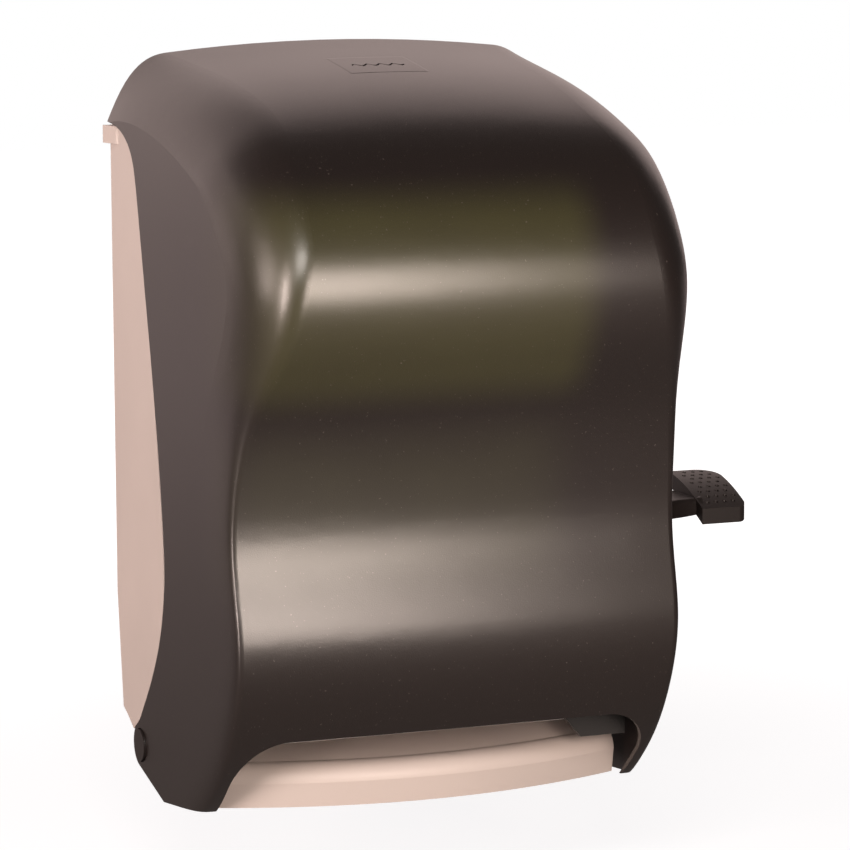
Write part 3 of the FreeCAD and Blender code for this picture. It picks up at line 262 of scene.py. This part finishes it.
def smoky_cover():
    f = Finish("smoky_cover", Specular_IOR_Level=1.0)
    point, (x, y, z) = place(f)
    # The painted light from inside is kept to the front faces, where the camera sees it.
    front = 1.0 - fade(f, y, *FRONT_END)
    roll = patch(f, x, z, ROLL_FIELD, ROLL_BORDER) * front
    low = patch(f, x, z, LOW_FIELD, LOW_BORDER) * front
    cloud = speckle(f, point, CLOUDS)
    # Painted light: the roll and the space under it, seen through the cover, mixed into the smoke.
    tone = mix(f, roll * (0.82 + 0.3 * cloud), SMOKE, ROLL_THROUGH_LIGHT)
    tone = mix(f, low * (0.5 + 0.5 * cloud), tone, LOW_THROUGH_LIGHT)
    dust = fade(f, speckle(f, point, SPECKS, 1.0), 0.735, 0.78)
    f.give(Base_Color=mix(f, 0.35 * dust, tone, DUST_TINT))
    grain = speckle(f, point, GRAIN, 2.0)
    smear = speckle(f, point, SMEARS, 4.0)
    field = patch(f, x, y, SLOT_FIELD, SLOT_BORDER) * fade(f, z, *TOP_START)
    fine = relief(f, grain, GRAIN_DEPTH)
    raised = f.add("Bump", values={"Height": field, "Distance": FIELD_STEP, "Normal": fine})
    f.give(Roughness=0.29 + 0.05 * grain + 0.04 * smear, Normal=raised)
    return f.material


cover_finish = smoky_cover()
print("made", cover_finish.name)

# %% [markdown]
# The backplate and the chute are the same pale, slightly pink plastic, with a softer shine. Its
# colour varies a little, as moulded plastic does where it flowed, and its edges are a bit lighter.
# The dark and the milky plastics are moulded too, so one function makes all five.

# %% Moulded plastics
FLOW, PITS = 14.0, 1500.0
PIT_DEPTH = 0.00004
EDGE_SHARE = 0.12


def moulded(name, colour, roughness):
    f = Finish(name)
    point, _ = place(f)
    flow = speckle(f, point, FLOW, 4.0)
    dark = tuple(c * 0.90 for c in colour)
    light = tuple(min(1.0, c * 1.06 + 0.004) for c in colour)
    pale = tuple(min(1.0, c * 1.35 + 0.02) for c in colour)
    tone = mix(f, flow, dark, light)
    f.give(Base_Color=mix(f, EDGE_SHARE * wear(f), tone, pale))
    pits = speckle(f, point, PITS, 2.0)
    f.give(Roughness=roughness - 0.05 + 0.07 * pits + 0.04 * flow, Normal=relief(f, pits, PIT_DEPTH))
    return f.material


pale_plastic = moulded("pale_plastic", (0.63, 0.55, 0.51), 0.44)
lever_plastic = moulded("lever_plastic", (0.016, 0.0112, 0.0103), 0.42)
black_plastic = moulded("black_plastic", (0.020, 0.019, 0.019), 0.46)
hub_plastic = moulded("hub_plastic", (0.07, 0.07, 0.078), 0.48)
gear_plastic = moulded("gear_plastic", (0.72, 0.70, 0.62), 0.36)
print("made five moulded plastics")

# %% [markdown]
# Rubber sleeves are ground to fine rings, so their grain runs around the roller. The rings come
# from x alone, and the dusty bloom that rubber gets comes from noise.

# %% Rubber
RUBBER_BLACK = (0.022, 0.022, 0.023)
RUBBER_BLOOM = (0.075, 0.073, 0.07)
# Radians per metre for the rings, bumps per metre for the bloom.
GROUND_RINGS, BLOOM = 5200.0, 60.0
RING_DEPTH = 0.00012


def ringed_rubber():
    f = Finish("roller_rubber")
    point, (x, _, _) = place(f)
    rings = waves(f, x * GROUND_RINGS)
    bloom = speckle(f, point, BLOOM, 4.0)
    f.give(Base_Color=mix(f, 0.6 * bloom, RUBBER_BLACK, RUBBER_BLOOM))
    f.give(Roughness=0.62 + 0.2 * bloom, Normal=relief(f, rings + 0.4 * bloom, RING_DEPTH))
    return f.material


rubber = ringed_rubber()
print("made", rubber.name)

# %% [markdown]
# The metal pieces are turned, rolled or plated. Turned shafts show fine rings along their length,
# the rolled blade shows long lines, and zinc plating has a mottled bloom. One function makes all
# of them: where the coordinates are squeezed in a direction, the noise is drawn out along it.

# %% Metals
SCRATCH_DEPTH = 0.00002


def metal(name, colour, roughness, squeeze, lines=900.0, bloom_scale=80.0):
    f = Finish(name, Metallic=1.0)
    point, _ = place(f)
    squeezed = f.add("VectorMath", {"operation": "MULTIPLY"}, {0: point, 1: squeeze})
    scratch = speckle(f, squeezed, lines, 3.0, 0.6)
    bloom = speckle(f, point, bloom_scale, 3.0)
    dull = tuple(c * 0.82 for c in colour)
    f.give(Base_Color=mix(f, 0.5 * bloom + 0.5 * scratch, dull, colour))
    f.give(Roughness=roughness + 0.16 * (scratch - 0.5) + 0.1 * bloom)
    f.give(Normal=relief(f, scratch, SCRATCH_DEPTH))
    return f.material


shaft_steel = metal("shaft_steel", (0.60, 0.60, 0.61), 0.28, (1.0, 0.06, 0.06))
blade_steel = metal("blade_steel", (0.66, 0.66, 0.67), 0.24, (0.03, 1.0, 1.0))
zinc = metal("zinc_plate", (0.70, 0.71, 0.74), 0.30, (1.0, 1.0, 1.0), 500.0, 160.0)
spring_steel = metal("spring_steel", (0.46, 0.46, 0.48), 0.30, (1.0, 1.0, 0.2))
print("made four metals")

# %% [markdown]
# Towel paper is soft and white, embossed with small staggered dots, which a cell pattern gives.
# Its colour is a little grey along the fibres, and the dots' hollows are painted darker as shade.
# On the roll's two ends the edges of the wound sheets show as many fine rings, so there the relief
# comes from the distance to the roll's axis instead, and the rings are painted darker too, as
# shade between the sheets.

# %% Towel paper
PAPER_WHITE = (0.76, 0.755, 0.735)
# The darker paper colour serves both the fibres' grey and the painted shade.
PAPER_GREY_AND_SHADE = (0.52, 0.51, 0.49)
FIBRES, DOTS, WOBBLE = 700.0, 260.0, 45.0
EMBOSS_DEPTH = 0.00022
# Radians per metre, so that a ring is about as thick as two sheets.
SHEET_RINGS = 9000.0
roll_low, roll_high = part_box("paper_roll")
roll_middle = (roll_low + roll_high) / 2


def from_axis(f, y, z):
    """Distance from the roll's axis."""
    aside = y - roll_middle.y
    above = z - roll_middle.z
    return (aside * aside + above * above) ** 0.5


def on_the_ends(f):
    """1 on faces that look along the roll's axis, 0 elsewhere."""
    normal = f.add("NewGeometry", out=1)
    along = f.add("SeparateXYZ", values={0: normal}, out=0)
    return fade(f, f.add("Math", {"operation": "ABSOLUTE"}, {0: along}), 0.8, 0.95)


def towel_paper(name, on_roll):
    f = Finish(name, Sheen_Weight=0.25, Sheen_Roughness=0.6)
    point, (_, y, z) = place(f)
    fibre = speckle(f, point, FIBRES, 5.0, 0.65)
    dots = f.add("TexVoronoi", {"feature": "F1"}, {"Vector": point, "Scale": DOTS, "Randomness": 0.25})
    dimple = fade(f, dots, 0.15, 0.5)
    height = dimple + 0.25 * fibre
    # Fibre tone, and painted shade in the dots' hollows.
    fibre_tone_and_painted_shade = 0.25 * fibre + 0.25 * (1.0 - dimple)
    if on_roll:
        ends = on_the_ends(f)
        wobble = speckle(f, point, WOBBLE, 3.0) * 2.4
        rings = waves(f, from_axis(f, y, z) * SHEET_RINGS + wobble)
        height = height * (1.0 - ends) + rings * ends
        # Painted shade between the wound sheets, in rings on the ends.
        fibre_tone_and_painted_shade = fibre_tone_and_painted_shade * (1.0 - ends) + 0.55 * rings * ends
    f.give(Base_Color=mix(f, fibre_tone_and_painted_shade, PAPER_WHITE, PAPER_GREY_AND_SHADE))
    f.give(Roughness=0.88 + 0.08 * fibre, Normal=relief(f, height, EMBOSS_DEPTH))
    return f.material


roll_paper = towel_paper("roll_paper", True)
sheet_paper = towel_paper("sheet_paper", False)
print("made", roll_paper.name, "and", sheet_paper.name)

# %% [markdown]
# The core is a tube of brown card, wound at a slant from a strip. Its seams are a helix, but little
# more than the tube's two ends shows, so slanted lines from x and z are enough.

# %% Core card
CARD_BROWN = (0.43, 0.31, 0.19)
CARD_DARK = (0.25, 0.17, 0.10)
SEAMS_PER_METRE = 18.0
CARD_FIBRES = 420.0
SEAM_DEPTH = 0.00015


def wound_card():
    f = Finish("core_card")
    point, (x, _, z) = place(f)
    fibre = speckle(f, point, CARD_FIBRES, 5.0, 0.6)
    seam = f.add("Math", {"operation": "FRACT"}, {0: (x + 0.35 * z) * SEAMS_PER_METRE})
    line = 1.0 - fade(f, seam, 0.015, 0.04)
    f.give(Base_Color=mix(f, 0.8 * fibre + 0.4 * line, CARD_BROWN, CARD_DARK))
    f.give(Roughness=0.85 + 0.1 * fibre, Normal=relief(f, fibre - 0.6 * line, SEAM_DEPTH))
    return f.material


card = wound_card()
print("made", card.name)

# %% [markdown]
# Each solid takes its finish by name. The solids keep their own meshes, because their shapes are
# already right.

# %% Dress the CAD pieces
dress = {
    cover_finish: ["front_cover"],
    pale_plastic: ["backplate", "outlet_chute"],
    lever_plastic: ["lever", "hinge_pins"],
    black_plastic: ["drive_housing", "housing_lid", "left_bracket", "tear_bar_carrier", "roll_arm_left",
                    "roll_arm_right", "latch_guide"],
    hub_plastic: ["roll_hub_left", "roll_hub_right", "feed_roller_core"],
    gear_plastic: ["lever_sector_gear", "drive_pinion", "latch_tongue", "latch_catch", "roller_bushes"],
    rubber: ["feed_roller_sleeves", "pinch_roller_sleeves"],
    shaft_steel: ["feed_shaft", "pinch_shaft", "lever_axle", "roll_arm_pin", "one_way_clutch"],
    blade_steel: ["tear_bar"],
    zinc: ["frame_screws", "housing_screws", "chute_screws", "roll_arm_screws", "latch_screws",
           "tear_bar_screws", "lever_axle_clip", "feed_shaft_clip"],
    spring_steel: ["lever_return_spring", "pinch_springs", "roll_arm_spring"],
    roll_paper: ["paper_roll"],
    sheet_paper: ["paper_web"],
    card: ["paper_core"],
}
for finish, names in dress.items():
    for name in names:
        for slot in nodes[name].material_slots:
            slot.material = finish
bare = sorted(set(nodes) - {name for names in dress.values() for name in names})
print("dressed", len(nodes) - len(bare), "pieces, left", bare)

# %% [markdown]
# In the CAD model the lever's return spring and the roll arm's spring are plain rings. Here they
# are wound from wire. A curve with a round bevel gives the wire, but the export wants a mesh, so
# the curve is only a tool: its mesh is kept and its object is deleted.

# %% A wire along points
def wound(name, points, thickness, node):
    """A round wire along a list of points, which stands for a CAD node."""
    curve = bpy.data.curves.new(name, "CURVE")
    curve.dimensions = "3D"
    curve.bevel_depth = thickness / 2
    curve.bevel_resolution = 3
    curve.use_fill_caps = True
    wire = curve.splines.new("POLY")
    wire.points.add(len(points) - 1)
    for spot, point in zip(wire.points, points):
        spot.co = (*point, 1.0)
    rough = bpy.data.objects.new(name + "_curve", curve)
    mesh = bpy.data.meshes.new_from_object(rough)
    bpy.data.objects.remove(rough)
    for face in mesh.polygons:
        face.use_smooth = True
    mesh.materials.clear()
    mesh.materials.append(spring_steel)
    piece = bpy.data.objects.new(name, mesh)
    bpy.context.collection.objects.link(piece)
    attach(piece, body_of(nodes[node])[0])
    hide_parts(node)
    return piece


print("wire can be wound")

# %% [markdown]
# The lever's spring is a flat spiral around the lever's axle, and the arm's spring is a helix
# around the arm's pin. Each has the size and the place of the ring that it stands for, so both
# are worked out from the rings' boxes.

# %% The two springs
SPIRAL_TURNS = 3
SPIRAL_STEPS = 48
SPIRAL_RIM = 0.0003
SPIRAL_INWARD = 0.0014
SPIRAL_WIRE = 0.0004
SPIRAL_ROOM = 0.0002
HELIX_TURNS = 6
HELIX_STEPS = 28
HELIX_WIRE = 0.0012


def spiral_spring():
    low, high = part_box("lever_return_spring")
    middle = (low + high) / 2
    outer = (high.z - low.z) / 2 - SPIRAL_RIM
    last = SPIRAL_TURNS * SPIRAL_STEPS
    points = []
    for i in range(last + 1):
        angle = 2 * math.pi * i / SPIRAL_STEPS
        radius = outer - SPIRAL_INWARD * (1 - i / last)
        points.append((middle.x, middle.y + radius * math.cos(angle), middle.z + radius * math.sin(angle)))
    thickness = min(SPIRAL_WIRE, high.x - low.x - SPIRAL_ROOM)
    return wound("return_spring_wire", points, thickness, "lever_return_spring")


def helix_spring():
    low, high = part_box("roll_arm_spring")
    middle = (low + high) / 2
    radius = (high.x - low.x) / 2 - HELIX_WIRE / 2
    rise = (high.z - low.z - HELIX_WIRE) / HELIX_TURNS
    points = []
    for i in range(HELIX_TURNS * HELIX_STEPS + 1):
        angle = 2 * math.pi * i / HELIX_STEPS
        spot = (middle.x + radius * math.cos(angle), middle.y + radius * math.sin(angle))
        points.append((*spot, low.z + HELIX_WIRE / 2 + rise * i / HELIX_STEPS))
    return wound("arm_spring_wire", points, HELIX_WIRE, "roll_arm_spring")


springs = [spiral_spring(), helix_spring()]
print("wound", [piece.name for piece in springs])

# %% [markdown]
# The photograph was taken a little from the left and a little from above, with a long lens. The
# viewing direction was worked out from the object's own edges, and the lens from how little they
# converge. A camera can be turned by its angles, but three directions in a matrix are surer.

# %% Camera
AIM = Vector((0.01606, -0.0985, -0.0197))
DISTANCE = 2.1551
TURN, DROP, ROLL = math.radians(20.95), math.radians(8.29), math.radians(-0.27)
SENSOR_WIDTH = 36.0
PICTURE_WIDTH = 850.0
FOCAL_LENGTH = 4089.4
forward = Vector((math.sin(TURN) * math.cos(DROP), math.cos(TURN) * math.cos(DROP), -math.sin(DROP)))
level = Vector((math.cos(TURN), -math.sin(TURN), 0.0))
rise = level.cross(forward)
right = level * math.cos(ROLL) + rise * math.sin(ROLL)
upward = rise * math.cos(ROLL) - level * math.sin(ROLL)
camera_data = bpy.data.cameras.new("camera")
camera_data.sensor_width = SENSOR_WIDTH
# The focal length and the picture's width are both in pixels here.
camera_data.lens = SENSOR_WIDTH * FOCAL_LENGTH / PICTURE_WIDTH
camera = bpy.data.objects.new("camera", camera_data)
turn = Matrix((right, upward, -forward)).transposed().to_4x4()
camera.matrix_world = Matrix.Translation(AIM - forward * DISTANCE) @ turn
bpy.context.collection.objects.link(camera)
bpy.context.scene.camera = camera
print("camera lens", round(camera_data.lens, 1), "mm")

# %% [markdown]
# A dispenser is photographed on a white sweep. The camera sees the floor as white, apart from the
# soft shadow under the object: it glows a little less near the object, so that the shadow shows.
# Reflections see another floor, dark in front and pale behind, because that is what makes the side
# and the top of the smoky cover pale and its front nearly black. A Light Path node tells the two
# apart, and what is seen through a clear piece counts as seen by the camera.

# %% Floor
FLOOR_GAP = 0.06
FLOOR_HALF = 5.0
FLOOR_GREY = (0.36, 0.37, 0.38)
NEAR_GLOW = (0.76, 0.77, 0.78)
FAR_GLOW = (1.0, 1.0, 1.0)
GLOW_RADII = (0.25, 1.3)
SWEEP_GREY = (0.2, 0.2, 0.2)
SWEEP_DARK = (0.012, 0.010, 0.010)
SWEEP_PALE = (0.40, 0.31, 0.30)
SWEEP_DEPTH = (0.0, 2.2)
SHADOW_Y = -0.1
floor_z = cad_box[0][2] - FLOOR_GAP


def pale_floor():
    mesh = bpy.data.meshes.new("floor")
    corners = [(-1, -1), (1, -1), (1, 1), (-1, 1)]
    mesh.from_pydata([(x * FLOOR_HALF, y * FLOOR_HALF, floor_z) for x, y in corners], [], [(0, 1, 2, 3)])
    piece = bpy.data.objects.new("floor", mesh)
    bpy.context.collection.objects.link(piece)
    f = Finish("pale_floor", Base_Color=FLOOR_GREY, Roughness=0.9, Emission_Strength=1.0)
    _, (x, y, _) = place(f)
    back = y - SHADOW_Y
    radius = (x * x + back * back) ** 0.5
    f.give(Emission_Color=mix(f, fade(f, radius, *GLOW_RADII), NEAR_GLOW, FAR_GLOW))
    sweep = mix(f, fade(f, y, *SWEEP_DEPTH), SWEEP_DARK, SWEEP_PALE)
    mirrored = f.add("BsdfPrincipled", values={"Base Color": SWEEP_GREY, "Roughness": 0.9,
                                               "Emission Color": sweep, "Emission Strength": 1.0})
    seen = f.add("LightPath", out="Is Camera Ray") + f.add("LightPath", out="Is Transmission Ray")
    both = f.add("MixShader", values={0: seen, 1: mirrored, 2: Wire(f, f.shader.outputs[0])})
    f.tree.links.new(both.socket, f.output.inputs[0])
    mesh.materials.append(f.material)
    return piece


floor = pale_floor()
print(floor.name, "at", round(floor_z, 3))

# %% [markdown]
# Behind and above the floor is the world. It has the same split: pure white for what the camera
# sees, and a dim warm room for everything else. Camera rays and transmission rays are added up.

# %% World
ROOM_LIGHT = 0.06
ROOM_TINT = (1.0, 0.97, 0.95)
WHITE = (1.0, 1.0, 1.0)


def white_world():
    world = bpy.data.worlds.new("studio")
    bpy.context.scene.world = world
    world.use_nodes = True
    tree = world.node_tree
    tree.nodes.clear()
    rays = tree.nodes.new("ShaderNodeLightPath")
    seen = tree.nodes.new("ShaderNodeMath")
    tree.links.new(rays.outputs["Is Camera Ray"], seen.inputs[0])
    tree.links.new(rays.outputs["Is Transmission Ray"], seen.inputs[1])
    blend = tree.nodes.new("ShaderNodeMixShader")
    tree.links.new(seen.outputs[0], blend.inputs[0])
    for side, colour, strength in ((1, ROOM_TINT, ROOM_LIGHT), (2, WHITE, 1.0)):
        light = tree.nodes.new("ShaderNodeBackground")
        light.inputs["Color"].default_value = (*colour, 1.0)
        light.inputs["Strength"].default_value = strength
        tree.links.new(light.outputs[0], blend.inputs[side])
    output = tree.nodes.new("ShaderNodeOutputWorld")
    tree.links.new(blend.outputs[0], output.inputs[0])
    return world


world = white_world()
print("made world", world.name)

# %% [markdown]
# Five lamps, all out of the camera's sight. A soft box close in front gives the warm highlights on
# the cover's two bulges and lights the pale nose. A tall thin strip on the left gives the streak
# down the cover's corner. A wide sweep behind shows in the top and the side at a grazing angle.
# Two weak fills, left and front, open the pale strip at the wall and the top.

# %% Lamps
def lamp(name, where, aim, wide, high, watts, tint):
    """A rectangle of light that the camera doesn't see."""
    data = bpy.data.lights.new(name, "AREA")
    data.shape = "RECTANGLE"
    data.size, data.size_y = wide, high
    data.energy = watts
    data.color = tint
    piece = bpy.data.objects.new(name, data)
    piece.location = where
    piece.rotation_euler = (Vector(aim) - Vector(where)).to_track_quat("-Z", "Y").to_euler()
    piece.visible_camera = False
    bpy.context.collection.objects.link(piece)
    return piece


lamps = [
    lamp("soft_box", (0.10, -0.98, 0.06), (0.10, -0.15, 0.05), 0.26, 0.40, 4.9, (1.0, 0.84, 0.74)),
    lamp("corner_strip", (-1.75, -1.3, 0.05), (0.0, -0.15, 0.0), 0.14, 1.3, 36.0, (1.0, 0.82, 0.75)),
    lamp("sweep", (0.0, 2.4, 1.0), (0.0, -0.1, 0.0), 7.0, 2.4, 54.0, (1.0, 0.78, 0.73)),
    lamp("left_fill", (-2.3, -0.2, 0.5), (0.0, -0.1, 0.0), 0.8, 0.8, 12.0, (1.0, 0.82, 0.75)),
    lamp("front_fill", (-0.9, -2.2, 1.3), (0.0, -0.1, 0.0), 0.9, 0.5, 25.0, (1.0, 0.92, 0.86)),
]
bpy.context.scene.view_settings.view_transform = "Standard"
print("lit by", [piece.name for piece in lamps])

# %% [markdown]
# The imported model fixes the object's outer size, and nothing that was added may reach past it.

# %% The imported model's size
print("cad", [[round(v, 4) for v in p] for p in cad_box])
